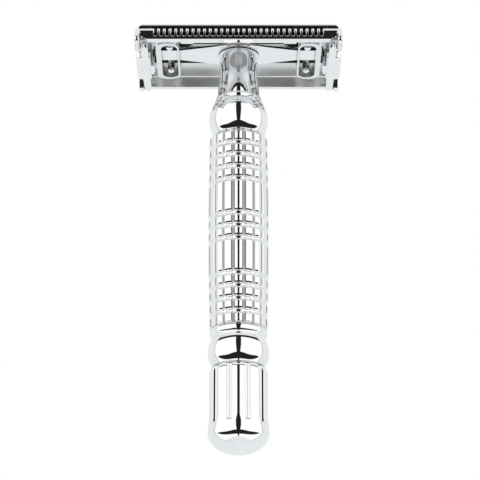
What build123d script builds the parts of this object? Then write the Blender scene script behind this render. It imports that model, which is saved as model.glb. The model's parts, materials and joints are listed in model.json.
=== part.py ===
from build123d import *
import os
from math import atan2, degrees, radians, sqrt, tan

# Twist-to-open double-edge safety razor, standing upright with its head at the top.
# Millimetres. Z runs up the handle from the knob's tip, X along the blade's edges,
# and -Y is the front. Front and rear of the head are mirror images in Y.

# ---- Driving dimensions ------------------------------------------------------------
HEAD_HALF = 21.6          # half the head's length along X
GUARD_FACE = 12.56        # outer face of each guard bar, from the handle's axis
GUARD_BOTTOM = 84.5
GUARD_FACE_TOP = 86.27
GUARD_CREST = 87.4
BLADE_TOP = 89.9          # top of the bent blade over the handle's axis
BLADE_SAG = 1.75          # how far the cutting edges hang below that
BLADE_HALF_WIDTH = 11.0
BLADE_HALF_EDGE = 18.65   # half the length of a cutting edge
BLADE_HALF_LENGTH = 21.5
BLADE_THICKNESS = 0.1
GRIP_BOTTOM = 25.5
GRIP_TOP = 68.0
GRIP_CREST = 6.32         # widest radius over the grip's ribs
GRIP_RIBS = 18
KNOB_FLUTES = 10
KNOB_BOTTOM = 5.3
KNOB_TOP = 17.4
NECK_TOP = 86.8
ROD_RADIUS = 1.6
LIFT = 2.0                # travel of the spindle when the knob is turned fully
DOOR_SWING = 78.0         # degrees that each door opens
HINGE_Y = 11.5
HINGE_Z = 85.0
PIN_RADIUS = 0.4
RUNNING = 0.05            # radial clearance between pieces that turn or slide
TINY = 0.02               # gap between pieces that only rest on each other

# ---- Dimensions worked out from them --------------------------------------------------
BLADE_RADIUS = (BLADE_HALF_WIDTH**2 + BLADE_SAG**2) / (2 * BLADE_SAG)
BLADE_CENTRE = BLADE_TOP - BLADE_RADIUS
BORE_RADIUS = ROD_RADIUS + 0.15
BARREL_BORE = 4.2
CRANK_REACH = LIFT / 2 / tan(radians(DOOR_SWING / 2))
CRANK_Y = HINGE_Y - CRANK_REACH
CRANK_Z = HINGE_Z - LIFT / 2
EAR_INNER = 20.5          # the door ears fill the last stretch of the head's length
GUARD_HALF = EAR_INNER - 0.1
STRAP_TOP = NECK_TOP + 0.4
BAR_BOTTOM = STRAP_TOP + RUNNING
BAR_TOP = BAR_BOTTOM + 0.5
BAR_HALF = 18.9
WINDOW_HALF_WIDTH = 5.3   # the long opening between the tray's two rails
RAIL_HALF = 18.4
RING_X = 14.95             # the hanging rings, on either side of the handle


def save(shape, node):
    """Write one piece under its node name."""
    export_step(shape, f"parts/{node}.step")


def ring(outer, inner, low, high):
    """A plain tube or washer around the handle's axis."""
    height = high - low
    blank = Cylinder(outer, height) - Cylinder(inner, height)
    return Pos(0, 0, (low + high) / 2) * blank


def turned(*edges):
    """A solid of revolution about the handle's axis, from its outline in the XZ plane."""
    return revolve(make_face(Wire(edges)), Axis.Z, 360)


def line(*points):
    """Straight outline through (radius, height) points."""
    return Polyline(*[(r, 0, z) for r, z in points])


def arc(start, middle, end):
    """Round outline through three (radius, height) points."""
    return ThreePointArc(*[(r, 0, z) for r, z in (start, middle, end)])


def curve(*points):
    """Smooth outline through (radius, height) points."""
    return Spline(*[(r, 0, z) for r, z in points])


def outline_edges(*pieces):
    """The edges of several joined outline pieces, in order."""
    return [edge for piece in pieces for edge in piece.edges()]


def bar_along_x(face, start, end):
    """Extrude a face drawn in the YZ plane from X = start to X = end."""
    return Pos(start, 0, 0) * extrude(face, end - start, dir=(1, 0, 0))


def yz_face(*edges):
    """A face in the YZ plane from joined edges."""
    return make_face(Wire(edges))


def rounded_plate(rounds):
    """A YZ face stretched round circles that are given as (y, z, radius)."""
    circles = Sketch() + [Pos(y, z) * Circle(r) for y, z, r in rounds]
    return Plane.YZ * make_hull(circles.edges())


def rod_along_x(radius, y, z, start, end):
    """A round pin along X."""
    return Pos((start + end) / 2, y, z) * Rot(0, 90, 0) * Cylinder(radius, end - start)


def both_ends(shape):
    """The shape and its mirror image at the other end of the head."""
    return [shape, mirror(shape, Plane.YZ)]


def arch_height(y, radius, top):
    """Height at distance y from the axis of an arch with the given radius and top."""
    return top - radius + sqrt(radius**2 - y**2)


# ---- Handle --------------------------------------------------------------------------------
def barrel_crest(z):
    """Radius over the grip's ribs at height z: a slight barrel."""
    widest_at, barrelling = 49.1, 0.0006
    return GRIP_CREST - barrelling * (z - widest_at) ** 2


def rib_section(z):
    """Cross-section of the grip at height z: round ribs with a narrow groove between them."""
    core_radius, rib_radius, valley_radius, valley_lift = 5.8, 2.4, 0.3, 0.12
    section = Circle(core_radius)
    for spot in PolarLocations(GRIP_CREST - rib_radius, GRIP_RIBS, start_angle=180 / GRIP_RIBS):
        section += spot * Circle(rib_radius)
    for spot in PolarLocations(GRIP_CREST - valley_lift, GRIP_RIBS):
        section -= spot * Circle(valley_radius)
    return Pos(0, 0, z) * scale(section, by=barrel_crest(z) / GRIP_CREST)


def handle_barrel():
    """Grip tube: ribs that follow the barrel shape, crossed by three groups of ring grooves."""
    groove_half_width, groove_root, groove_pitch, group_pitch = 0.5, 5.84, 2.69, 10.19
    grooves_centre, clear_of_ribs = 46.3, 0.1
    ribs_start, ribs_end = 26.2, 66.3

    def over_ribs(z):
        return (barrel_crest(z) + clear_of_ribs, z)

    outer_group = [group_pitch + i * groove_pitch for i in range(4)]
    offsets = [-step for step in reversed(outer_group)] + [-groove_pitch, 0, groove_pitch] + outer_group
    outline = [
        line((BARREL_BORE, GRIP_TOP), (BARREL_BORE, GRIP_BOTTOM), (5.62, GRIP_BOTTOM)),
        arc((5.62, GRIP_BOTTOM), (5.88, 25.75), over_ribs(ribs_start)),
    ]
    land_start = ribs_start
    for offset in offsets:
        z = grooves_centre + offset
        low, high = z - groove_half_width, z + groove_half_width
        outline.append(arc(over_ribs(land_start), over_ribs((land_start + low) / 2), over_ribs(low)))
        outline.append(arc(over_ribs(low), (groove_root, z), over_ribs(high)))
        land_start = high
    outline += [
        arc(over_ribs(land_start), over_ribs((land_start + ribs_end) / 2), over_ribs(ribs_end)),
        arc(over_ribs(ribs_end), (6.0, 66.95), (5.5, 67.2)),
        line((5.5, 67.2), (5.12, GRIP_TOP), (BARREL_BORE, GRIP_TOP)),
    ]
    middle = (GRIP_BOTTOM + GRIP_TOP) / 2
    ribbed = loft([rib_section(z) for z in (GRIP_BOTTOM, middle, GRIP_TOP)])
    return ribbed & turned(*outline_edges(*outline))


def neck_post():
    """Upper bead, slender waisted neck, and the spigot that fits the barrel."""
    spigot_bottom = 63.1
    return turned(
        *outline_edges(
            line((BORE_RADIUS, NECK_TOP), (BORE_RADIUS, spigot_bottom), (BARREL_BORE, spigot_bottom),
                 (BARREL_BORE, GRIP_TOP), (5.12, GRIP_TOP)),
            arc((5.12, GRIP_TOP), (6.19, 71.7), (5.0, 75.4)),
            line((5.0, 75.4), (4.95, 75.8)),
            arc((4.95, 75.8), (4.9, 76.2), (4.62, 76.5)),
            curve((4.62, 76.5), (4.33, 78.6), (3.84, 82.2), (4.3, 85.6)),
            arc((4.3, 85.6), (4.18, 86.45), (3.5, NECK_TOP)),
            line((3.5, NECK_TOP), (BORE_RADIUS, NECK_TOP)),
        )
    )


def lower_collar():
    """Lower bead with the spigot that closes the barrel and carries the knob's journal."""
    bead_bottom, bead_top, spigot_top = 17.7, 23.6, 29.1
    bore = 3.3
    return turned(
        *outline_edges(
            line((bore, bead_bottom), (5.28, bead_bottom)),
            arc((5.28, bead_bottom), (6.22, 20.7), (5.36, bead_top)),
            arc((5.36, bead_top), (5.86, 24.5), (5.62, GRIP_BOTTOM)),
            line((5.62, GRIP_BOTTOM), (BARREL_BORE, GRIP_BOTTOM), (BARREL_BORE, spigot_top),
                 (bore, spigot_top), (bore, bead_bottom)),
        )
    )


# ---- Knob -------------------------------------------------------------------------------------
def twist_knob():
    """Fluted knob with the hollow journal that turns inside the collar."""
    low, land_top, land = KNOB_BOTTOM, 16.0, 6.02
    journal, journal_top = 3.25, 30.3
    nut_radius, nut_top = 2.6, 12.1
    body = turned(
        *outline_edges(
            line((nut_radius, low), (6.06, low)),
            arc((6.06, low), (6.03, 5.85), (land, 6.4)),
            line((land, 6.4), (land, land_top)),
            arc((land, land_top), (5.82, 16.8), (5.28, KNOB_TOP)),
            line((5.28, KNOB_TOP), (journal, KNOB_TOP), (journal, journal_top),
                 (BORE_RADIUS, journal_top), (BORE_RADIUS, nut_top),
                 (nut_radius, nut_top), (nut_radius, low)),
        )
    )
    groove_radius, groove_centre, groove_low = 0.7, 6.32, 6.1
    groove = Pos(0, 0, groove_low + 6) * Cylinder(groove_radius, 12)
    groove += Pos(0, 0, groove_low) * Sphere(groove_radius)
    for spot in PolarLocations(groove_centre, KNOB_FLUTES):
        body -= spot * groove
    return body


def knob_dome():
    """Polished end cap: a low dome with a small flat tip, flush with the knob's lower edge."""
    flat, rim, rim_height = 2.2, 6.2, 4.2
    return turned(
        *outline_edges(
            line((0, KNOB_BOTTOM), (0, 0), (flat, 0)),
            curve((flat, 0), (4.0, 0.82), (5.4, 2.0), (rim, rim_height), (6.06, KNOB_BOTTOM)),
            line((6.06, KNOB_BOTTOM), (0, KNOB_BOTTOM)),
        )
    )


def knob_nut():
    """Brass nut pressed into the knob, in which the spindle's thread runs."""
    return ring(2.6, ROD_RADIUS + RUNNING, KNOB_BOTTOM, 12.1)


def retaining_ring():
    """Ring on the journal's end that keeps the knob on the handle."""
    return ring(3.95, 3.25, 29.2, 30.0)


def thrust_washer():
    """Thin washer between the knob and the collar."""
    return ring(5.2, 3.3, KNOB_TOP + TINY, 17.7)


# ---- Spindle ------------------------------------------------------------------------------------
def spindle_rod():
    """Long rod inside the handle, from the knob's nut up to the lift bar."""
    low = 6.5
    return Pos(0, 0, (low + BAR_TOP) / 2) * Cylinder(ROD_RADIUS, BAR_TOP - low)


def guide_bush():
    """Brass bush in the barrel that guides the rod and seats the spring."""
    return ring(BARREL_BORE, ROD_RADIUS + RUNNING, 59.1, 63.1)


def spring_collar():
    """Collar fixed on the rod that carries the spring's lower end."""
    return ring(3.7, ROD_RADIUS, 47.7, 48.7)


def return_spring():
    """Compression spring that keeps the doors pulled shut."""
    wire, radius, low, high = 0.3, 2.9, 49.05, 58.75
    path = Pos(0, 0, low) * Helix(pitch=1.9, height=high - low, radius=radius)
    start = path @ 0
    section = Plane(origin=start, z_dir=path % 0) * Circle(wire)
    return sweep(section, path=path)


def lift_bar():
    """Flat bar on top of the spindle that carries a yoke at each end of the head."""
    width = 2.2
    bar = Pos(0, 0, (BAR_BOTTOM + BAR_TOP) / 2) * Box(2 * BAR_HALF, width, BAR_TOP - BAR_BOTTOM)
    hub = Pos(0, 0, (BAR_BOTTOM + BAR_TOP) / 2) * Cylinder(2.6, BAR_TOP - BAR_BOTTOM)
    return bar + hub - spindle_rod()


def bar_rivet():
    """Low head that fastens the lift bar to the rod."""
    return ring(1.5, 0.5, BAR_TOP, BAR_TOP + 0.25)


def crank_pins():
    """Four pins, one at each end of each yoke, that push on the doors' ears."""
    pins = []
    for y in (-CRANK_Y, CRANK_Y):
        pins += both_ends(rod_along_x(PIN_RADIUS, y, CRANK_Z, 19.4, HEAD_HALF))
    return Compound(pins)


def right_yoke():
    """End piece of the lift bar: a post, a broad flat foot and a round-ended arm to each crank pin."""
    foot_bottom, foot_top, foot_half_width = 83.6, 85.0, 5.4
    post_start, foot_start = 17.75, 18.5
    arm_x, arm_width, arm_reach, arm_bottom, arm_top = 19.6, 1.5, 10.9, 83.45, 84.7
    post = Pos((post_start + BAR_HALF) / 2, 0, (foot_bottom + BAR_BOTTOM) / 2)
    post *= Box(BAR_HALF - post_start, 3.2, BAR_BOTTOM - foot_bottom)
    foot = Pos((foot_start + HEAD_HALF) / 2, 0, (foot_bottom + foot_top) / 2)
    foot *= Box(HEAD_HALF - foot_start, 2 * foot_half_width, foot_top - foot_bottom)
    foot = fillet(foot.edges().filter_by(Axis.Z), 0.8)
    foot = fillet(foot.faces().sort_by(Axis.Z)[0].edges(), 0.3)
    arms = extrude(Rot(0, 0, 90) * SlotOverall(2 * arm_reach, arm_width), arm_top - arm_bottom)
    return post + foot + Pos(arm_x, 0, arm_bottom) * arms - crank_pins()


# ---- Head -----------------------------------------------------------------------------------------
def rail_section():
    """Rear half of the tray's cross-section: blade bed, thin web and guard bar."""
    bed = BLADE_TOP - BLADE_THICKNESS - TINY
    bed_radius = BLADE_RADIUS - BLADE_THICKNESS - TINY
    bed_edge, web_inner = 8.8, 87.55
    inner, middle, outer = WINDOW_HALF_WIDTH, (WINDOW_HALF_WIDTH + bed_edge) / 2, bed_edge
    heights = [arch_height(y, bed_radius, bed) for y in (inner, middle, outer)]
    edges = outline_edges(
        ThreePointArc((0, inner, heights[0]), (0, middle, heights[1]), (0, outer, heights[2])),
        Polyline((0, outer, heights[2]), (0, 9.9, GUARD_CREST), (0, 11.0, GUARD_CREST)),
        ThreePointArc((0, 11.0, GUARD_CREST), (0, 12.07, 87.2), (0, GUARD_FACE, GUARD_FACE_TOP)),
        Polyline((0, GUARD_FACE, GUARD_FACE_TOP), (0, GUARD_FACE, GUARD_BOTTOM + 0.15),
                 (0, GUARD_FACE - 0.15, GUARD_BOTTOM), (0, 11.2, GUARD_BOTTOM), (0, 11.1, 86.8),
                 (0, 10.9, 86.95), (0, inner, web_inner), (0, inner, heights[0])),
    )
    return yz_face(*edges)


def bracket_ring(x):
    """Hanging ring with round ends that ties the two rails together under the blade."""
    half_width, half_length = 2.45, 8.9
    hole_half_width, hole_half_length, hole_offset = 1.7, 7.9, 0.35
    low, high = 85.3, 88.0
    inward = -hole_offset if x > 0 else hole_offset
    outer = Rot(0, 0, 90) * SlotOverall(2 * half_length, 2 * half_width)
    inner = Pos(inward, 0) * Rot(0, 0, 90) * SlotOverall(2 * hole_half_length, 2 * hole_half_width)
    body = Pos(x, 0, low) * extrude(outer - inner, high - low)
    passage = Pos(x, 0, STRAP_TOP + 1) * Box(2 * half_width + 1, 2 * WINDOW_HALF_WIDTH, 2)
    return body - passage


def guard_notch():
    """Cutter for one notch, at X = 0: a blind, round-bottomed groove with a chamfered mouth."""
    width, bottom, stem, chamfer_size = 0.66, 85.4, 3.0, 0.16
    inner_end, outer_end = 11.9, 13.0
    centre = bottom + width / 2

    def outline(grow):
        round_end = Circle(width / 2 + grow)
        return Pos(0, centre) * (round_end + Pos(0, stem / 2) * Rectangle(width + 2 * grow, stem))

    slot = extrude(Plane.XZ.offset(-outer_end) * outline(0), outer_end - inner_end)
    mouth = extrude(Plane.XZ.offset(-GUARD_FACE) * outline(chamfer_size), 0.25, taper=45)
    return slot + mouth


def end_bevel():
    """Cutter for the slanted end of a guard bar, at the right end of the head."""
    foot, far = 19.1, GUARD_HALF + 1
    triangle = Polyline((foot, 0, GUARD_BOTTOM), (far, 0, 87.63), (far, 0, GUARD_BOTTOM - 1),
                        (foot, 0, GUARD_BOTTOM - 1), close=True)
    return Pos(0, 20, 0) * extrude(make_face(triangle), 20, dir=(0, -1, 0))


def guard_tray():
    """Cast head tray: two notched guard bars on arched rails, joined by two hanging rings."""
    section = rail_section()
    past_rails = Pos(0, 12, 86) * Box(2 * GUARD_HALF, 2.2, 4)
    half = bar_along_x(section, -RAIL_HALF, RAIL_HALF)
    half += bar_along_x(section, -GUARD_HALF, GUARD_HALF) & past_rails
    for bevel in both_ends(end_bevel()):
        half -= bevel
    first, pitch, per_side = 0.5, 1.19, 15
    notch = guard_notch()
    for i in range(per_side):
        for side in (-1, 1):
            half -= Pos(side * (first + i * pitch), 0, 0) * notch
    tray = half + mirror(half, Plane.XZ)
    for x in (-RING_X, RING_X):
        tray += bracket_ring(x)
    return tray - bridge_strap() - hinge_pins() - tray_rivets()


def bridge_strap():
    """Flat strap on top of the neck, widest at the handle and narrow at the brackets."""
    middle, end, taper_end, length = 5.6, 2.35, 12.4, 17.35
    outline = Polyline(
        (0, middle), (taper_end, end), (length, end), (length, -end), (taper_end, -end),
        (0, -middle), (-taper_end, -end), (-length, -end), (-length, end), (-taper_end, end),
        close=True,
    )
    strap = Pos(0, 0, NECK_TOP) * extrude(make_face(outline), STRAP_TOP - NECK_TOP)
    return strap - Pos(0, 0, NECK_TOP) * Cylinder(BORE_RADIUS, 4)


def tray_rivets():
    """Four round-ended posts hanging from the rails inside the bracket rings."""
    radius, x, y, bottom, top = 0.8, 14.5, 5.6, 86.1, 88.0
    post = Pos(0, 0, (bottom + top) / 2) * Cylinder(radius, top - bottom)
    post += Pos(0, 0, bottom) * Sphere(radius)
    return Compound([Pos(side_x * x, side_y * y, 0) * post for side_x in (-1, 1) for side_y in (-1, 1)])


def hinge_pins():
    """Four pins in the ends of the guard bars, on which the doors swing."""
    pins = []
    for y in (-HINGE_Y, HINGE_Y):
        pins += both_ends(rod_along_x(PIN_RADIUS, y, HINGE_Z, 17.8, HEAD_HALF))
    return Compound(pins)


def blade():
    """Thin steel blade, bent over the rails: end tabs, long centre slot and three round openings."""
    tab = 6.4
    slot_half_width, slot_half_length, opening = 0.9, 17.0, 2.6
    outline = Rectangle(2 * BLADE_HALF_EDGE, 2 * BLADE_HALF_WIDTH)
    outline += Rectangle(2 * BLADE_HALF_LENGTH, 2 * tab)
    outline -= Rectangle(2 * slot_half_length, 2 * slot_half_width)
    for x in (-12.0, 0, 12.0):
        outline -= Pos(x, 0) * Circle(opening)
    prism = Pos(0, 0, BLADE_TOP - 4) * extrude(outline, 5)
    outer, inner = BLADE_RADIUS, BLADE_RADIUS - BLADE_THICKNESS
    sheet = Pos(0, 0, BLADE_CENTRE) * Rot(0, 90, 0) * (Cylinder(outer, 50) - Cylinder(inner, 50))
    return sheet & prism


def rear_door():
    """Arched door with a sloping cheek and a hinge ear at each end."""
    split, lip, lip_top, top = 0.2, 10.4, 89.2, 91.2
    lip_edge, lip_round_start = 88.5, 9.8
    gap = 0.08
    inner_radius, inner_top = BLADE_RADIUS + gap, BLADE_TOP + gap
    outer_radius = ((lip**2) + (top - lip_top) ** 2) / (2 * (top - lip_top))
    shell_end = 18.8
    cheek_start, cheek_bottom, ear_rounding = 6.6, 87.45, 0.4

    def inner_at(y):
        return arch_height(y, inner_radius, inner_top)

    def outer_at(y):
        return arch_height(y, outer_radius, top)

    round_end = outer_at(lip_round_start)
    lip_corner = ThreePointArc((0, lip, lip_edge), (0, 10.22, 89.05), (0, lip_round_start, round_end))
    shell_section = yz_face(
        *outline_edges(
            ThreePointArc((0, split, inner_at(split)), (0, 5, inner_at(5)), (0, lip, inner_at(lip))),
            Polyline((0, lip, inner_at(lip)), (0, lip, lip_edge)),
            lip_corner,
            ThreePointArc((0, lip_round_start, round_end), (0, 5, outer_at(5)),
                          (0, split, outer_at(split))),
            Polyline((0, split, outer_at(split)), (0, split, inner_at(split))),
        )
    )
    cheek_section = yz_face(
        *outline_edges(
            Polyline((0, cheek_start, outer_at(cheek_start)), (0, cheek_start, cheek_bottom),
                     (0, lip, cheek_bottom), (0, lip, lip_edge)),
            lip_corner,
            ThreePointArc((0, lip_round_start, round_end), (0, 8.5, outer_at(8.5)),
                          (0, cheek_start, outer_at(cheek_start))),
        )
    )
    ear_rounds = [(HINGE_Y, HINGE_Z, 1.1), (CRANK_Y - 0.15, CRANK_Z - 0.05, 0.95),
                  (9.6, 88.0, 0.8), (7.4, 88.0, 0.8)]
    ear_section = rounded_plate(ear_rounds)
    door = bar_along_x(shell_section, -shell_end, shell_end)
    slope = make_face(
        Polyline((shell_end, 0, 90.4), (HEAD_HALF + 1, 0, 86.6), (HEAD_HALF + 1, 0, 95),
                 (shell_end, 0, 95), close=True)
    )
    hinge_clearance = PIN_RADIUS + RUNNING
    slot_angle = degrees(atan2(-LIFT / 2, -CRANK_REACH))
    slot_near, slot_far = CRANK_REACH, sqrt(CRANK_REACH**2 + (LIFT / 2) ** 2)
    slot_radius = PIN_RADIUS + 0.14
    slot = Plane.YZ * Pos(HINGE_Y, HINGE_Z) * Rot(0, 0, slot_angle)
    slot *= Pos((slot_near + slot_far) / 2, 0) * SlotCenterToCenter(slot_far - slot_near, 2 * slot_radius)
    end = bar_along_x(cheek_section, shell_end - 0.01, HEAD_HALF)
    end -= Pos(0, 15, 0) * extrude(slope, 15, dir=(0, -1, 0))
    ear = bar_along_x(ear_section, EAR_INNER, HEAD_HALF)
    ear = fillet(ear.faces().filter_by(Axis.X).edges(), ear_rounding)
    ear -= rod_along_x(hinge_clearance, HINGE_Y, HINGE_Z, EAR_INNER - 1, HEAD_HALF + 1)
    ear -= bar_along_x(slot, EAR_INNER - 1, HEAD_HALF + 1)
    ear -= Pos(0, 15, 0) * extrude(slope, 15, dir=(0, -1, 0))
    for piece in both_ends(end + ear):
        door += piece
    return door


def main():
    os.makedirs("parts", exist_ok=True)
    save(handle_barrel(), "handle_barrel")
    save(neck_post(), "neck_post")
    save(lower_collar(), "lower_collar")
    save(guide_bush(), "guide_bush")
    save(twist_knob(), "twist_knob")
    save(knob_dome(), "knob_dome")
    save(knob_nut(), "knob_nut")
    save(retaining_ring(), "retaining_ring")
    save(thrust_washer(), "thrust_washer")
    save(spindle_rod(), "spindle_rod")
    save(spring_collar(), "spring_collar")
    save(return_spring(), "return_spring")
    save(lift_bar(), "lift_bar")
    save(bar_rivet(), "bar_rivet")
    yoke = right_yoke()
    save(yoke, "right_yoke")
    save(mirror(yoke, Plane.YZ), "left_yoke")
    save(crank_pins(), "crank_pins")
    save(guard_tray(), "guard_tray")
    save(bridge_strap(), "bridge_strap")
    save(tray_rivets(), "tray_rivets")
    save(hinge_pins(), "hinge_pins")
    save(blade(), "blade")
    door = rear_door()
    save(door, "rear_door")
    save(mirror(door, Plane.XZ), "front_door")


main()
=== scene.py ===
import json
import math

import bmesh
import bpy
import numpy as np
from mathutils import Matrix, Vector

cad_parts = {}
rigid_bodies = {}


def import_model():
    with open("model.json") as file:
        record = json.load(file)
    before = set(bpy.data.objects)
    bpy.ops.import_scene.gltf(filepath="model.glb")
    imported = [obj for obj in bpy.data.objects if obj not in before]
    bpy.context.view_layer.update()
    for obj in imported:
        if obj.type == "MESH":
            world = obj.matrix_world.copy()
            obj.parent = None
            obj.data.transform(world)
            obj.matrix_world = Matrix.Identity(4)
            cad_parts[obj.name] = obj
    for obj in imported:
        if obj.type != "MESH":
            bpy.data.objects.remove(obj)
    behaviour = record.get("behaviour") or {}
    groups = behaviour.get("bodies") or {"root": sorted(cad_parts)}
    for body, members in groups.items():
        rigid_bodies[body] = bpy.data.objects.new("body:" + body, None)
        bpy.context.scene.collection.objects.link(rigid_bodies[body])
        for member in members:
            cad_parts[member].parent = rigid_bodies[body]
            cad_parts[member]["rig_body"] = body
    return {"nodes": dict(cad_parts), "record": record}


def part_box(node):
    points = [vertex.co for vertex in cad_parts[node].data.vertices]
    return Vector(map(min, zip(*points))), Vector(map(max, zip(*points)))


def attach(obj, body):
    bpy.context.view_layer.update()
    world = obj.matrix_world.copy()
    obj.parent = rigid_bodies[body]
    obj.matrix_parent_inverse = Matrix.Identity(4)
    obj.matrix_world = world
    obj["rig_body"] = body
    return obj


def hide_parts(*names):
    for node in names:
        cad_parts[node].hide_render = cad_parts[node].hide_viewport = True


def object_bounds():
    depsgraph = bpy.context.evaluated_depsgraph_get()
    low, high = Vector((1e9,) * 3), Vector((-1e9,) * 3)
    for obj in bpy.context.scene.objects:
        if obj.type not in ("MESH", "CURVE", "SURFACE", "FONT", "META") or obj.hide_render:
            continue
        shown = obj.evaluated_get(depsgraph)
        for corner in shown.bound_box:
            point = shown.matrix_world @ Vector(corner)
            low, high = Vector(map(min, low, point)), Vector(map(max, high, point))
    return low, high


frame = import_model()
cad_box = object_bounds()

# A chromed twist-to-open safety razor. Everything is in metres, in the CAD frame: Z up the handle,
# X along the blade, -Y is the front. Sizes and places come from the boxes of the CAD nodes.

MM = 0.001
TURN = 2 * math.pi

# Grip: a barrel with round ribs along it and ring grooves across it.
GRIP_RIBS = 18
RIB_RADIUS = 2.4 * MM         # roundness of one rib, seen from above
VALLEY_CUT = 0.3 * MM         # radius of the narrow groove between two ribs
VALLEY_LIFT = 0.12 * MM       # how far its centre lies inside the ribs' crests
BARRELLING = 0.6              # radius lost per squared metre away from the widest height
WIDEST_ABOVE = 23.6 * MM      # above the grip's lower end
MIDDLE_RING_ABOVE = 20.8 * MM
RING_PITCH = 2.69 * MM        # between neighbouring ring grooves
GROUP_START = 10.19 * MM      # from the middle ring groove to the first one of an outer group
RING_DEPTH = 0.48 * MM
RING_FLOOR = 0.44 * MM        # radius of a ring groove's round bottom
RING_HALF = 0.75 * MM         # half its width, with the bevels beside it
RING_BEVEL = math.tan(math.radians(27))
RECESS_SHADE_START = 0.20 * MM      # below the crests, where the painted shade starts
RECESS_SHADE_FULL = 0.30 * MM

# Knob: ten flutes between rounded lands.
KNOB_FLUTES = 10
LAND_RADIUS = 6.02 * MM
LAND_ROUND = 3.2 * MM         # roundness of one land, seen from above
LAND_START = 1.6 * MM         # height over which the round lower edge turns into lands
FLUTE_DEPTH = 0.68 * MM       # below the middles of the lands
FLUTE_FLOOR = 0.42 * MM       # radius of a flute's round bottom
FLUTE_WALL = math.radians(60)
FLUTE_START = 0.8 * MM        # above the knob's lower edge
FLUTE_ROUND = 0.6 * MM        # height over which a flute runs out at its lower end

CUT_RADIUS = 5.0 * MM         # ribs and flutes are only cut outside this radius

# Radii in millimetres, as in the outlines below.
BORE = 1.75
SPIGOT = 4.2


# ---- Where the CAD puts things ----------------------------------------------------------
def low(node):
    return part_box(node)[0]


def high(node):
    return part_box(node)[1]


GRIP_LOW = low("handle_barrel").z
GRIP_HIGH = high("handle_barrel").z
GRIP_RADIUS = high("handle_barrel").y


# ---- Node helpers ---------------------------------------------------------------------------
def new_material(name):
    material = bpy.data.materials.new(name)
    material.use_nodes = True
    return material, material.node_tree


def add_node(tree, kind, **values):
    node = tree.nodes.new(kind)
    for key, value in values.items():
        setattr(node, key, value)
    return node


def number(tree, operation, a, b=0.0, c=0.0):
    """A math node; each input is a socket or a plain number."""
    node = add_node(tree, "ShaderNodeMath", operation=operation)
    for socket, value in zip(node.inputs, (a, b, c)):
        if isinstance(value, (int, float)):
            socket.default_value = value
        else:
            tree.links.new(value, socket)
    return node.outputs[0]


def step_up(tree, value, start, end):
    """0 below start, 1 above end, smooth between."""
    node = add_node(tree, "ShaderNodeMapRange", interpolation_type="SMOOTHSTEP")
    tree.links.new(value, node.inputs["Value"])
    node.inputs["From Min"].default_value = start
    node.inputs["From Max"].default_value = end
    return node.outputs["Result"]


def band(tree, value, start, end, soft):
    """1 between start and end, 0 outside, with soft edges."""
    rise = step_up(tree, value, start - soft, start + soft)
    fall = step_up(tree, value, end - soft, end + soft)
    return number(tree, "SUBTRACT", rise, fall)


# ---- Materials -----------------------------------------------------------------------------------
CHROME = (0.93, 0.935, 0.94)
# Materials of the head's pieces: duller inside the cast tray, and painted shade between the pieces.
HEAD_FINISH_AND_SHADE = {
    "guard_tray": "cast_chrome",
    "bridge_strap": "head_chrome",
    "tray_rivets": "head_chrome",
    "front_door": "head_chrome",
    "rear_door": "head_chrome",
    "left_yoke": "head_chrome",
    "right_yoke": "head_chrome",
}


def crevice_shade(tree, place, reach, darkest, open_beyond):
    """Painted shade: 1 on open surfaces, down to darkest in corners and gaps narrower than the given
    reach.

    Surfaces close above the floor, or farther out than open_beyond, count as open.
    """
    shelter = add_node(tree, "ShaderNodeAmbientOcclusion", samples=8)
    shelter.inputs["Distance"].default_value = reach
    open_sky = step_up(tree, shelter.outputs["AO"], 0.15, 0.75)
    split = add_node(tree, "ShaderNodeSeparateXYZ")
    tree.links.new(place, split.inputs["Vector"])
    near_floor = step_up(tree, split.outputs["Z"], 0.5 * reach, 1.5 * reach)
    near_floor = number(tree, "SUBTRACT", 1.0, near_floor)
    open_sky = number(tree, "MAXIMUM", open_sky, near_floor)
    across = number(tree, "ABSOLUTE", split.outputs["Y"])
    far_out = step_up(tree, across, open_beyond - 0.1 * MM, open_beyond)
    open_sky = number(tree, "MAXIMUM", open_sky, far_out)
    return number(tree, "MULTIPLY_ADD", open_sky, 1 - darkest, darkest)


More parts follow.
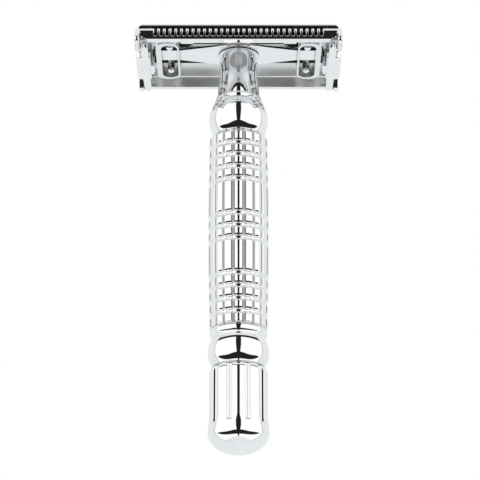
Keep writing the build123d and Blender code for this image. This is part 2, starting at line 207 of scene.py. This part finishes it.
def metal(name, colour, roughness, grain=0.0, grain_axis=None, patch=0.02, relief=0.0,
          reach=0.6, darkest=0.1, open_beyond=100.0):
    """Polished or turned metal: fine haze, faint polishing marks, uneven colour and painted shade in
    crevices.

    reach and open_beyond are the crevice shade's, in millimetres.
    """
    material, tree = new_material(name)
    links = tree.links
    shader = tree.nodes["Principled BSDF"]
    shader.inputs["Metallic"].default_value = 1.0
    place = add_node(tree, "ShaderNodeTexCoord").outputs["Object"]

    haze = add_node(tree, "ShaderNodeTexNoise")
    haze.inputs["Scale"].default_value = 260.0
    haze.inputs["Detail"].default_value = 5.0
    links.new(place, haze.inputs["Vector"])

    streaks = add_node(tree, "ShaderNodeTexNoise")
    stretch = add_node(tree, "ShaderNodeMapping")
    stretch.inputs["Scale"].default_value = grain_axis or (2200.0, 2200.0, 2200.0)
    streaks.inputs["Scale"].default_value = 1.0
    streaks.inputs["Detail"].default_value = 3.0
    links.new(place, stretch.inputs["Vector"])
    links.new(stretch.outputs["Vector"], streaks.inputs["Vector"])

    hazed = number(tree, "MULTIPLY_ADD", haze.outputs["Fac"], patch, roughness - patch / 2)
    rough = number(tree, "MULTIPLY_ADD", streaks.outputs["Fac"], grain, hazed)
    links.new(rough, shader.inputs["Roughness"])

    ramp = add_node(tree, "ShaderNodeValToRGB")
    ramp.color_ramp.elements[0].position = 0.3
    ramp.color_ramp.elements[1].position = 0.7
    ramp.color_ramp.elements[0].color = (*[c * 0.96 for c in colour], 1)
    ramp.color_ramp.elements[1].color = (*colour, 1)
    links.new(haze.outputs["Fac"], ramp.inputs["Fac"])
    links.new(ramp.outputs["Color"], shader.inputs["Base Color"])
    # Painted shade in corners and gaps, from ambient occlusion.
    darken(tree, crevice_shade(tree, place, reach * MM, darkest, open_beyond * MM))

    if relief:
        bump = add_node(tree, "ShaderNodeBump")
        bump.inputs["Strength"].default_value = relief
        bump.inputs["Distance"].default_value = 0.01 * MM
        links.new(streaks.outputs["Fac"], bump.inputs["Height"])
        links.new(bump.outputs["Normal"], shader.inputs["Normal"])
    return material


def darken(tree, amount):
    """Multiply the colour that goes into a metal's shader, to paint shade into it."""
    base = tree.nodes["Principled BSDF"].inputs["Base Color"]
    shaded = add_node(tree, "ShaderNodeVectorMath", operation="SCALE")
    tree.links.new(base.links[0].from_socket, shaded.inputs[0])
    tree.links.new(amount, shaded.inputs["Scale"])
    tree.links.new(shaded.outputs["Vector"], base)


def chrome_plate(name, **shade):
    """Polished plate. Its crevice shade is set by reach, darkest and open_beyond, as in metal()."""
    return metal(name, CHROME, 0.035, grain=0.015, relief=0.02, **shade)


def chrome_metal():
    """Bright plate of the handle and the knob."""
    return chrome_plate("chrome_plate", reach=0.3)


def ribbed_chrome_metal():
    """The grip's plate, with painted shade at the bottom of the grooves between its ribs."""
    material = chrome_plate("chrome_plate_ribbed")
    tree = material.node_tree
    recess_shade = add_node(tree, "ShaderNodeAttribute", attribute_name="recess_shade").outputs["Fac"]
    darken(tree, number(tree, "MULTIPLY_ADD", recess_shade, -0.5, 1.0))
    return material


def head_chrome_metal():
    """The same plate on the pieces of the head, with deeper shade between them."""
    return chrome_plate("chrome_plate_head", reach=1.0, open_beyond=10.2)


def cast_chrome_metal():
    """Plate on the cast tray: bright guards with painted shade in their notches, duller inside, painted
    shade in its window.
    """
    material = chrome_plate("chrome_plate_cast", reach=1.0, open_beyond=10.9)
    tree = material.node_tree
    shader = tree.nodes["Principled BSDF"]
    split = add_node(tree, "ShaderNodeSeparateXYZ")
    tree.links.new(add_node(tree, "ShaderNodeTexCoord").outputs["Object"], split.inputs["Vector"])
    across = number(tree, "ABSOLUTE", split.outputs["Y"])
    face = high("guard_tray").y
    wall = face - 1.25 * MM
    inside = number(tree, "SUBTRACT", 1.0, step_up(tree, across, wall - 0.1 * MM, wall))
    polished = shader.inputs["Roughness"].links[0].from_socket
    tree.links.new(number(tree, "MULTIPLY_ADD", inside, 0.26, polished), shader.inputs["Roughness"])

    # Painted shade inside the head's window, where light doesn't reach.
    strap_top = high("bridge_strap").z
    window = high("tray_rivets").y - 1.0 * MM
    window_shade = step_up(tree, split.outputs["Z"], strap_top - 0.5 * MM, strap_top - 0.4 * MM)
    in_window = number(tree, "SUBTRACT", 1.0, step_up(tree, across, window, window + 0.05 * MM))
    window_shade = number(tree, "MULTIPLY", window_shade, in_window)
    darken(tree, number(tree, "MULTIPLY_ADD", window_shade, -0.92, 1.0))

    # Painted shade in the notches of the guards.
    notch_shade = band(tree, across, face - 0.75 * MM, face - 0.19 * MM, 0.02 * MM)
    below_crest = number(tree, "SUBTRACT", 1.0,
                         step_up(tree, split.outputs["Z"], strap_top - 0.9 * MM, strap_top - 0.5 * MM))
    above_foot = step_up(tree, split.outputs["Z"], strap_top - 2.0 * MM, strap_top - 1.9 * MM)
    notch_shade = number(tree, "MULTIPLY", notch_shade, number(tree, "MULTIPLY", below_crest, above_foot))
    darken(tree, number(tree, "MULTIPLY_ADD", notch_shade, -0.85, 1.0))
    return material


def blade_metal():
    """Ground strip steel, with the grinding marks along the cutting edges."""
    return metal("blade_strip", (0.86, 0.87, 0.88), 0.08, grain=0.08,
                 grain_axis=(120.0, 9000.0, 9000.0), relief=0.2, darkest=0.4)


def plain_metal():
    """Turned steel of the inner pieces."""
    return metal("turned_steel", (0.60, 0.61, 0.63), 0.22, grain=0.12,
                 grain_axis=(500.0, 500.0, 7000.0), relief=0.2)


def spring_metal():
    """Drawn wire with a film of oil."""
    return metal("spring_wire", (0.36, 0.37, 0.39), 0.3, grain=0.1, relief=0.2)


def brass_metal():
    """Turned brass of the nut and the bush."""
    return metal("turned_brass", (0.80, 0.60, 0.28), 0.25, grain=0.12,
                 grain_axis=(500.0, 500.0, 7000.0), relief=0.2)


MATERIALS = {
    "ribbed_chrome": ribbed_chrome_metal(),
    "head_chrome": head_chrome_metal(),
    "cast_chrome": cast_chrome_metal(),
    "chrome": chrome_metal(),
    "blade_steel": blade_metal(),
    "plain_steel": plain_metal(),
    "spring_steel": spring_metal(),
    "brass": brass_metal(),
}


def paint_cad_nodes():
    """Give every CAD node the material of its slot, or its own finish and painted shade in the head."""
    for part in frame["record"]["subparts"]:
        node = frame["nodes"][part["node"]]
        node.data.materials.clear()
        finish_and_shade = HEAD_FINISH_AND_SHADE.get(part["node"], part["material_slot"])
        node.data.materials.append(MATERIALS[finish_and_shade])


# ---- Outlines, as (radius, height) points ------------------------------------------------------
def arc(start, through, end, steps=14):
    """Points on the circle through three points, without the first one."""
    (ax, ay), (bx, by), (cx, cy) = start, through, end
    d = 2 * (ax * (by - cy) + bx * (cy - ay) + cx * (ay - by))
    a2, b2, c2 = ax * ax + ay * ay, bx * bx + by * by, cx * cx + cy * cy
    ox = (a2 * (by - cy) + b2 * (cy - ay) + c2 * (ay - by)) / d
    oy = (a2 * (cx - bx) + b2 * (ax - cx) + c2 * (bx - ax)) / d
    radius = math.hypot(ax - ox, ay - oy)
    first = math.atan2(ay - oy, ax - ox)
    middle = (math.atan2(by - oy, bx - ox) - first) % TURN
    last = (math.atan2(cy - oy, cx - ox) - first) % TURN
    sweep = last if middle <= last else last - TURN
    turns = [first + sweep * (i + 1) / steps for i in range(steps)]
    return [(ox + radius * math.cos(t), oy + radius * math.sin(t)) for t in turns]


def curve(points, steps=12):
    """Points on a smooth curve through the given ones, without the first one."""
    ends = [points[0], *points, points[-1]]
    found = []
    for i in range(1, len(ends) - 2):
        p, q, r, s = (np.array(ends[i + k]) for k in (-1, 0, 1, 2))
        for step in range(1, steps + 1):
            t = step / steps
            found.append(tuple(0.5 * (2 * q + (r - p) * t + (2 * p - 5 * q + 4 * r - s) * t ** 2
                                      + (3 * q - p - 3 * r + s) * t ** 3)))
    return found


def soften(outline, radius, corner=math.radians(20)):
    """Round off the corners of a closed outline."""
    found = []
    for i, point in enumerate(outline):
        here = np.array(point)
        back = np.array(outline[i - 1]) - here
        ahead = np.array(outline[(i + 1) % len(outline)]) - here
        back_length, ahead_length = np.hypot(*back), np.hypot(*ahead)
        turn = math.pi - math.acos(np.clip(back @ ahead / (back_length * ahead_length), -1, 1))
        if turn < corner or point[0] < 0.01 * MM:
            found.append(point)
            continue
        reach = min(radius * math.tan(turn / 2), back_length * 0.45, ahead_length * 0.45)
        a, b = here + back / back_length * reach, here + ahead / ahead_length * reach
        for t in (0, 0.25, 0.5, 0.75, 1):
            found.append(tuple((1 - t) ** 2 * a + 2 * t * (1 - t) * here + t ** 2 * b))
    return found


def placed(points, base):
    """Outline points in millimetres above a base height, in metres."""
    return [(r * MM, base + z * MM) for r, z in points]


# ---- Meshes --------------------------------------------------------------------------------------
def grid_mesh(name, rows, wrap):
    """Join rows of points into a closed skin. With wrap, the last row joins the first one."""
    count = len(rows[0])
    faces = []
    for r in range(len(rows) if wrap else len(rows) - 1):
        here, above = r * count, (r + 1) % len(rows) * count
        for c in range(count):
            beside = (c + 1) % count
            faces.append((here + c, here + beside, above + beside, above + c))
    mesh = bpy.data.meshes.new(name)
    mesh.from_pydata([point for row in rows for point in row], [], faces)
    tidy = bmesh.new()
    tidy.from_mesh(mesh)
    bmesh.ops.remove_doubles(tidy, verts=tidy.verts, dist=1e-7)
    bmesh.ops.recalc_face_normals(tidy, faces=tidy.faces)
    tidy.to_mesh(mesh)
    tidy.free()
    mesh.shade_smooth()
    mesh.set_sharp_from_angle(angle=math.radians(50))
    return mesh


def turned(name, node, outline, angles, cut=None, finish_and_shade="chrome"):
    """A piece turned on the handle's axis from a closed outline, in place of a CAD node.

    cut(radius, height, angle) gives the radius where the piece isn't quite round.
    """
    wrap = outline[0][0] > 0
    rows = []
    for r, z in outline:
        row = []
        for angle in angles:
            radius = cut(r, z, angle) if cut else r
            row.append((radius * math.sin(angle), -radius * math.cos(angle), z))
        rows.append(row)
    piece = bpy.data.objects.new(name, grid_mesh(name, rows, wrap))
    bpy.context.scene.collection.objects.link(piece)
    piece.data.materials.append(MATERIALS[finish_and_shade])
    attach(piece, frame["nodes"][node]["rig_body"])
    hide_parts(node)
    return piece


def even_angles(count):
    return [TURN * i / count for i in range(count)]


def soft_min(a, b, blend):
    """The smaller of two values, with a rounded change-over."""
    h = max(blend - abs(a - b), 0.0) / blend
    return min(a, b) - h * h * blend / 4


def soft_max(a, b, blend):
    """The larger of two values, with a rounded change-over."""
    return -soft_min(-a, -b, blend)


# ---- Handle --------------------------------------------------------------------------------------
def round_bulge(angle, centre, radius):
    """Distance from the axis to the far side of a circle that is centred off the axis."""
    aside = centre * math.sin(angle)
    return centre * math.cos(angle) + math.sqrt(radius ** 2 - aside ** 2)


def round_cut(angle, centre, radius):
    """Distance from the axis to the near side of a cutting circle, or None beside it."""
    aside = centre * math.sin(angle)
    if abs(aside) >= radius:
        return None
    return centre * math.cos(angle) - math.sqrt(radius ** 2 - aside ** 2)


def barrel_radius(z):
    """Radius of the ribs' crests: a slight barrel."""
    return GRIP_RADIUS - BARRELLING * (z - GRIP_LOW - WIDEST_ABOVE) ** 2


def rib_drop(angle):
    """How far the surface lies below the ribs' crests at this angle from the front."""
    pitch = TURN / GRIP_RIBS
    from_crest = (angle + pitch / 2) % pitch - pitch / 2
    from_valley = abs(from_crest) - pitch / 2
    surface = round_bulge(from_crest, GRIP_RADIUS - RIB_RADIUS, RIB_RADIUS)
    valley = round_cut(from_valley, GRIP_RADIUS - VALLEY_LIFT, VALLEY_CUT)
    if valley is not None:
        surface = soft_min(surface, valley, 0.06 * MM)
    return GRIP_RADIUS - surface


def ring_depth(off):
    """Depth of a ring groove at this height above or below its middle: round floor between bevels."""
    off = abs(off)
    bevel = (RING_HALF - off) * RING_BEVEL
    floor = -MM
    if off < RING_FLOOR:
        floor = RING_DEPTH - RING_FLOOR + math.sqrt(RING_FLOOR ** 2 - off ** 2)
    return soft_max(floor, soft_max(bevel, 0.0, 0.03 * MM), 0.05 * MM)


def ring_heights():
    """Heights of the eleven ring grooves: three in the middle, and a group of four above and below."""
    middle = GRIP_LOW + MIDDLE_RING_ABOVE
    outer = [GROUP_START + i * RING_PITCH for i in range(4)]
    steps = [RING_PITCH] + outer
    return sorted([middle] + [middle + side * step for side in (-1, 1) for step in steps])


def make_grip():
    """Ribbed and grooved barrel between two plain round ends."""
    rings = ring_heights()
    start, end = GRIP_LOW + 0.7 * MM, GRIP_HIGH - 1.7 * MM
    lower_end = placed([(5.62, 0)] + arc((5.62, 0), (5.92, 0.25), (6.02, 0.7), 8), GRIP_LOW)
    upper_end = arc((6.14, -1.7), (6.0, -1.05), (5.5, -0.8), 10) + [(5.12, 0)]
    upper_end = placed(upper_end, GRIP_HIGH)

    def cut(r, z, angle):
        if r < CUT_RADIUS:
            return r
        drop = rib_drop(angle)
        if z < start or z > end:
            return min(r, barrel_radius(z) - drop)
        ring = min(rings, key=lambda height: abs(z - height))
        depth = ring_depth(z - ring)
        return r - drop - depth * max(1 - drop / RING_DEPTH, 0)

    heights = {start, end}
    offsets = [RING_FLOOR * math.sin(math.radians(12 * i)) for i in range(8)]
    offsets += [off * MM for off in (0.455, 0.49, 0.55, 0.65, 0.72, 0.75, 0.78)]
    for ring in rings:
        for offset in offsets:
            heights |= {ring - offset, ring + offset}
    ribbed = [(barrel_radius(z), z) for z in spread(sorted(heights), 0.9 * MM)]
    outline = [(SPIGOT * MM, GRIP_LOW), *lower_end, *ribbed[1:-1], *upper_end, (SPIGOT * MM, GRIP_HIGH)]
    half_rib = [0, 0.1, 0.2, 0.3, 0.4, 0.5, 0.58, 0.65, 0.7, 0.75, 0.8, 0.86, 0.93]
    across = [-1] + [-u for u in reversed(half_rib[1:])] + half_rib
    pitch = TURN / GRIP_RIBS
    angles = [pitch * (i + u / 2) for i in range(GRIP_RIBS) for u in across]
    grip = turned("grip", "handle_barrel", outline, angles, cut, finish_and_shade="ribbed_chrome")
    # Painted shade in the narrow grooves between the ribs, left out in the ring grooves.
    recess_shade = grip.data.attributes.new("recess_shade", "FLOAT", "POINT")
    for vertex, value in zip(grip.data.vertices, recess_shade.data):
        x, y, z = vertex.co
        below_start = rib_drop(math.atan2(x, -y)) - RECESS_SHADE_START
        recessed = min(below_start / (RECESS_SHADE_FULL - RECESS_SHADE_START), 1)
        in_ring = max(ring_depth(z - ring) for ring in rings) / RING_DEPTH
        value.value = max(recessed, 0) * max(1 - 1.5 * in_ring, 0)


def spread(heights, gap):
    """The same heights with evenly spaced ones put into the gaps that are wider."""
    found = [heights[0]]
    for height in heights[1:]:
        pieces = max(math.ceil((height - found[-1]) / gap), 1)
        last = found[-1]
        found += [last + (height - last) * (i + 1) / pieces for i in range(pieces)]
    return [z for i, z in enumerate(found) if i == 0 or z - found[i - 1] > 1e-6]


def make_neck():
    """Upper bead with a small step above it, and the waisted neck, from the grip's upper end."""
    top = (high("neck_post").z - GRIP_HIGH) / MM
    bottom = (low("neck_post").z - GRIP_HIGH) / MM
    outline = [(5.12, 0)]
    outline += arc((5.12, 0), (6.19, 3.7), (5.0, 7.4), 40)
    outline += [(4.95, 7.8)]
    outline += arc((4.95, 7.8), (4.9, 8.2), (4.62, 8.5), 8)
    outline += curve([(4.62, 8.5), (4.33, 10.6), (3.84, 14.2), (4.3, top - 0.5)], 12)
    outline += arc((4.3, top - 0.5), (4.16, top - 0.14), (3.8, top), 12)
    outline += [(BORE, top), (BORE, bottom), (SPIGOT, bottom), (SPIGOT, 0)]
    turned("neck", "neck_post", soften(placed(outline, GRIP_HIGH), 0.06 * MM), even_angles(128))


def make_collar():
    """Lower bead and the ring under the grip."""
    base = low("lower_collar").z
    seam = (GRIP_LOW - base) / MM
    top = (high("lower_collar").z - base) / MM
    bore = 3.3
    outline = [(bore, 0), (5.28, 0)]
    outline += arc((5.28, 0), (6.22, 3.0), (5.36, seam - 1.9), 40)
    outline += arc((5.36, seam - 1.9), (5.86, seam - 1.0), (5.62, seam), 14)
    outline += [(SPIGOT, seam), (SPIGOT, top), (bore, top)]
    turned("collar_bead", "lower_collar", soften(placed(outline, base), 0.06 * MM), even_angles(128))


# ---- Knob ----------------------------------------------------------------------------------------
def flute_depth(aside):
    """Depth of a flute at this distance from its middle: round floor, straight steep walls."""
    floor_edge = FLUTE_FLOOR * math.sin(FLUTE_WALL)
    if aside < floor_edge:
        return FLUTE_DEPTH - FLUTE_FLOOR + math.sqrt(FLUTE_FLOOR ** 2 - aside ** 2)
    edge_depth = FLUTE_DEPTH - FLUTE_FLOOR * (1 - math.cos(FLUTE_WALL))
    return edge_depth - (aside - floor_edge) * math.tan(FLUTE_WALL)


def make_knob():
    """Fluted knob, whose journal reaches up into the lower bead."""
    base = low("twist_knob").z
    top = (high("twist_knob").z - base) / MM
    journal = 3.25
    sector = TURN / KNOB_FLUTES

    def cut(r, z, angle):
        if r < CUT_RADIUS:
            return r
        above = z - base
        from_land = (angle + sector / 2) % sector - sector / 2
        from_flute = abs(from_land) - sector / 2
        fade = min(max(above / LAND_START, 0), 1)
        fade = fade * fade * (3 - 2 * fade)
        land = round_bulge(from_land, LAND_RADIUS - LAND_ROUND, LAND_ROUND)
        surface = r - fade * (LAND_RADIUS - land)
        run = max(FLUTE_START - above, 0) / FLUTE_ROUND
        if run >= 1:
            return surface
        depth = flute_depth(abs(r * math.sin(from_flute))) - FLUTE_DEPTH * (1 - math.sqrt(1 - run ** 2))
        return soft_min(surface, LAND_RADIUS - depth, 0.04 * MM)

    outline = [(BORE, 0), (6.06, 0)]
    outline += arc((6.06, 0), (6.03, 0.55), (6.02, 1.1), 14)
    outline += [(6.02, 1.2 + 0.1 * i) for i in range(5)]
    outline += [(6.02, 1.6 + 0.91 * i) for i in range(1, 11)]
    outline += arc((6.02, 10.7), (5.82, 11.5), (5.28, 12.1), 24)
    outline += [(journal, 12.1), (journal, top), (BORE, top)]
    steps = [i / 22 for i in range(22)]
    angles = [sector * (i + u) for i in range(KNOB_FLUTES) for u in steps]
    fine = [sector * (i + 0.5 + u * 0.022) for i in range(KNOB_FLUTES) for u in range(-10, 11)]
    coarse = [angle for angle in angles if abs(angle % sector - sector / 2) > 0.23 * sector]
    turned("fluted_knob", "twist_knob", placed(outline, base), sorted(coarse + fine), cut)


def make_dome():
    """End cap: an ellipse that ends in the flat tip."""
    base = low("knob_dome").z
    top = (high("knob_dome").z - base) / MM
    rim, rim_height, drop = 6.2, 4.12, 4.32
    flat_turn = math.asin(rim_height / drop)
    outline = [(0, 0)]
    for i in range(33):
        turn = flat_turn * (1 - i / 32)
        outline.append((rim * math.cos(turn), rim_height - drop * math.sin(turn)))
    outline += curve([(rim, rim_height), (6.15, 4.75), (6.06, top)], 6)
    outline += [(0, top)]
    turned("end_dome", "knob_dome", placed(outline, base), even_angles(128))


# ---- Studio --------------------------------------------------------------------------------------
def make_world():
    """A white window in front, edged with black, and a pale grey room: what the chrome mirrors."""
    world = bpy.data.worlds.new("studio")
    world.use_nodes = True
    bpy.context.scene.world = world
    tree = world.node_tree
    links = tree.links
    background = tree.nodes["Background"]
    way = add_node(tree, "ShaderNodeTexCoord").outputs["Generated"]
    split = add_node(tree, "ShaderNodeSeparateXYZ")
    links.new(way, split.inputs["Vector"])
    x, y, z = split.outputs
    azimuth = number(tree, "ARCTAN2", x, number(tree, "MULTIPLY", y, -1.0))
    azimuth = number(tree, "ABSOLUTE", number(tree, "DEGREES", azimuth))
    elevation = number(tree, "DEGREES", number(tree, "ARCSINE", z))
    sideways = number(tree, "DIVIDE", azimuth, 90.0)

    # All angles are in degrees. A black slit between two panels, a little wider towards the top.
    half_slit = number(tree, "MULTIPLY_ADD", elevation, 0.08, 8.0)
    beyond = number(tree, "SUBTRACT", azimuth, half_slit)
    slit = number(tree, "SUBTRACT", 1.0, step_up(tree, beyond, -0.5, 0.5))
    slit = number(tree, "MULTIPLY", slit, band(tree, elevation, -58, 54, 0.5))

    # A black lens-shaped gap under the panels: its upper edge sags, its lower edge rises to the sides.
    sag = number(tree, "SINE", number(tree, "RADIANS", number(tree, "MULTIPLY", azimuth, 2.0)))
    upper_edge = number(tree, "MULTIPLY_ADD", number(tree, "POWER", sag, 2.0), -7.0, -15.0)
    lower_edge = number(tree, "MULTIPLY_ADD", number(tree, "POWER", sideways, 4.0), 30.0, -45.0)
    over_lower = step_up(tree, number(tree, "SUBTRACT", elevation, lower_edge), -1, 1)
    over_upper = step_up(tree, number(tree, "SUBTRACT", elevation, upper_edge), -1, 1)
    under = number(tree, "MAXIMUM", number(tree, "SUBTRACT", over_lower, over_upper), 0.0)
    under = number(tree, "MULTIPLY", under, number(tree, "LESS_THAN", azimuth, 90.0))

    # The black top edge of the panels, lower at the sides.
    top_edge = number(tree, "MULTIPLY_ADD", number(tree, "POWER", sideways, 2.0), -17.0, 53.0)
    over = band(tree, number(tree, "SUBTRACT", elevation, top_edge), 0.0, 11.0, 1.0)
    over = number(tree, "MULTIPLY", over, number(tree, "LESS_THAN", azimuth, 97.0))
    dark = number(tree, "MAXIMUM", number(tree, "MAXIMUM", slit, under), over)

    # Panels in front; a dimmer, slightly blue room behind, above and far below.
    behind = step_up(tree, azimuth, 97, 99)
    above = step_up(tree, number(tree, "SUBTRACT", elevation, top_edge), 10, 12)
    below = number(tree, "SUBTRACT", 1.0, step_up(tree, elevation, -66, -56))
    room = number(tree, "MAXIMUM", number(tree, "MAXIMUM", behind, above), below)
    edge = band(tree, azimuth, 97, 101, 0.7)
    light = number(tree, "MULTIPLY_ADD", dark, -0.985, 1.0)
    light = number(tree, "MULTIPLY", light, number(tree, "MULTIPLY_ADD", edge, -0.4, 1.0))
    tint = add_node(tree, "ShaderNodeMix", data_type="RGBA")
    tint.inputs[6].default_value = (1.1, 1.1, 1.1, 1)
    tint.inputs[7].default_value = (0.84, 0.87, 0.88, 1)
    links.new(room, tint.inputs["Factor"])
    seen = add_node(tree, "ShaderNodeVectorMath", operation="SCALE")
    links.new(tint.outputs[2], seen.inputs[0])
    links.new(light, seen.inputs["Scale"])

    # The camera itself sees plain white.
    camera_ray = add_node(tree, "ShaderNodeLightPath").outputs["Is Camera Ray"]
    mix = add_node(tree, "ShaderNodeMix", data_type="RGBA")
    links.new(camera_ray, mix.inputs["Factor"])
    links.new(seen.outputs["Vector"], mix.inputs[6])
    mix.inputs[7].default_value = (1, 1, 1, 1)
    links.new(mix.outputs[2], background.inputs["Color"])


def make_floor():
    """A pale floor at the knob's tip. It is seen from above only: the low camera looks past it."""
    mesh = bpy.data.meshes.new("floor")
    half = 1.5
    corners = [(-half, -half, 0), (half, -half, 0), (half, half, 0), (-half, half, 0)]
    mesh.from_pydata(corners, [], [(0, 1, 2, 3)])
    floor = bpy.data.objects.new("floor", mesh)
    bpy.context.scene.collection.objects.link(floor)
    floor.location.z = cad_box[0][2] - 0.02 * MM
    floor.visible_glossy = False
    material, tree = new_material("pale_floor")
    shader = tree.nodes["Principled BSDF"]
    shader.inputs["Roughness"].default_value = 0.6
    speckle = add_node(tree, "ShaderNodeTexNoise")
    speckle.inputs["Scale"].default_value = 40.0
    ramp = add_node(tree, "ShaderNodeValToRGB")
    ramp.color_ramp.elements[0].color = (0.80, 0.80, 0.80, 1)
    ramp.color_ramp.elements[1].color = (0.86, 0.86, 0.86, 1)
    tree.links.new(speckle.outputs["Fac"], ramp.inputs["Fac"])
    tree.links.new(ramp.outputs["Color"], shader.inputs["Base Color"])
    from_below = add_node(tree, "ShaderNodeNewGeometry").outputs["Backfacing"]
    clear = add_node(tree, "ShaderNodeBsdfTransparent")
    mix = add_node(tree, "ShaderNodeMixShader")
    tree.links.new(from_below, mix.inputs[0])
    tree.links.new(shader.outputs["BSDF"], mix.inputs[1])
    tree.links.new(clear.outputs["BSDF"], mix.inputs[2])
    tree.links.new(mix.outputs["Shader"], tree.nodes["Material Output"].inputs["Surface"])
    mesh.materials.append(material)


def make_light():
    """A large soft lamp, high up in front on the left."""
    light = bpy.data.lights.new("softbox", "AREA")
    light.energy = 1.5
    light.size = 0.5
    softbox = bpy.data.objects.new("softbox", light)
    bpy.context.scene.collection.objects.link(softbox)
    softbox.location = (-0.25, -0.3, 0.5)
    aim = Vector((0, 0, 0.03)) - softbox.location
    softbox.rotation_euler = aim.to_track_quat("-Z", "Y").to_euler()
    softbox.visible_glossy = False


def make_camera():
    """From the front, 20 degrees below the horizontal, as in the photograph."""
    camera = bpy.data.objects.new("camera", bpy.data.cameras.new("camera"))
    bpy.context.scene.collection.objects.link(camera)
    camera.data.sensor_width = 36.0
    camera.data.lens = 153.1
    camera.data.clip_start = 0.01
    middle = (cad_box[0][2] + cad_box[1][2]) / 2
    target = Vector((0.3 * MM, 0, middle - 0.6 * MM))
    tilt = math.radians(20)
    distance = 420 * MM
    camera.location = target + distance * Vector((0, -math.cos(tilt), -math.sin(tilt)))
    camera.rotation_euler = (target - camera.location).to_track_quat("-Z", "Y").to_euler()
    bpy.context.scene.camera = camera


paint_cad_nodes()
make_grip()
make_neck()
make_collar()
make_knob()
make_dome()
make_world()
make_floor()
make_light()
make_camera()
bpy.context.scene.view_settings.view_transform = "Standard"
